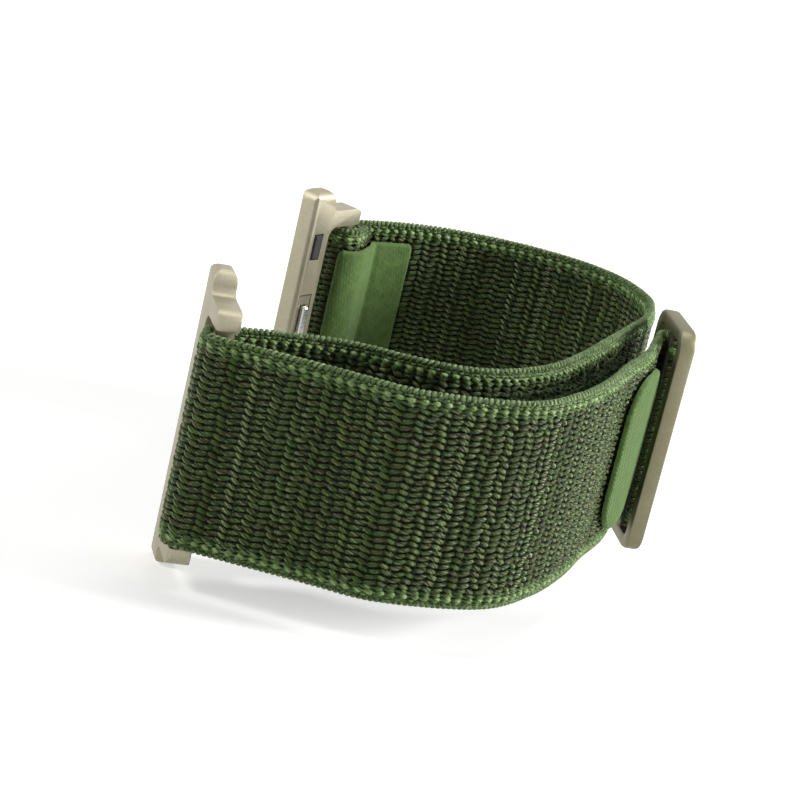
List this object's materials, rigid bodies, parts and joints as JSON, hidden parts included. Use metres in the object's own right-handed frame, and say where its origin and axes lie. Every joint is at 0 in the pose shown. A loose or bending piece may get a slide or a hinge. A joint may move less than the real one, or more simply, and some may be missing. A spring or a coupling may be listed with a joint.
{
  "type": "watch strap",
  "caption": "Woven nylon watch strap with hook-and-loop tail, metal buckle frame and two sprung case connectors, closed into a wrist loop.",
  "frame": {"origin": "centre of the box's bottom face: the strap stands on its lower long edge, on the two rails' lower ends and the buckle", "axes": "+Z across the strip's width, upwards as in the picture; +Y from the near connector to the far one; +X from the watch case towards the buckle"},
  "size_m": [0.0502, 0.0716, 0.034],
  "materials": {
    "woven_green": "coarse dark green weave",
    "twill_green": "light green fine diagonal twill",
    "loop_green": "dark green loop pile",
    "hook_green": "moulded hooks on a dark green backing",
    "champagne_metal": "fine bead-blasted champagne satin",
    "spring_steel": "bright spring steel",
    "black_rubber": "matt black elastomer"
  },
  "bodies": {
    "band": {"woven_band_wrist_run": "woven_green", "far_anchor_pad": "twill_green", "loop_patch": "loop_green"},
    "tail": {"woven_band_tail": "woven_green", "hook_patch": "hook_green", "tail_anchor_pad": "twill_green"},
    "buckle": {"buckle_frame": "champagne_metal"},
    "near_connector": {"near_connector_frame": "champagne_metal", "near_latch_retainer": "champagne_metal", "near_latch_spring": "spring_steel", "near_friction_pad_upper": "black_rubber", "near_friction_pad_lower": "black_rubber"},
    "far_connector": {"far_connector_frame": "champagne_metal", "far_latch_retainer": "champagne_metal", "far_latch_spring": "spring_steel", "far_friction_pad_upper": "black_rubber", "far_friction_pad_lower": "black_rubber"},
    "near_latch": {"near_latch_plunger": "spring_steel"},
    "far_latch": {"far_latch_plunger": "spring_steel"}
  },
  "joints": [
    {"name": "tail_peel", "type": "hinge", "parent": "band", "child": "tail", "pos_m": [-0.0174, -0.03558, 0.017], "axis": [0, 0, 1], "range_deg": [-35, 0]},
    {"name": "buckle_swivel", "type": "hinge", "parent": "tail", "child": "buckle", "pos_m": [0.02231, 0.01251, 0.017], "axis": [0, 0, 1], "range_deg": [-9, 6]},
    {"name": "near_connector_swing", "type": "hinge", "parent": "band", "child": "near_connector", "pos_m": [-0.02056, -0.03318, 0.017], "axis": [0, 0, 1], "range_deg": [-20, 90]},
    {"name": "far_connector_swing", "type": "hinge", "parent": "band", "child": "far_connector", "pos_m": [-0.02056, 0.0206, 0.017], "axis": [0, 0, 1], "range_deg": [-90, 60]},
    {"name": "near_latch_press", "type": "slide", "parent": "near_connector", "child": "near_latch", "axis": [-0.9063, -0.4226, 0], "range_m": [0, 0.0005], "stiffness_N_per_m": 400, "springref_m": -0.0015, "deforming": ["near_latch_spring"]},
    {"name": "far_latch_press", "type": "slide", "parent": "far_connector", "child": "far_latch", "axis": [-0.9063, 0.4226, 0], "range_m": [0, 0.0005], "stiffness_N_per_m": 400, "springref_m": -0.0015, "deforming": ["far_latch_spring"]}
  ]
}
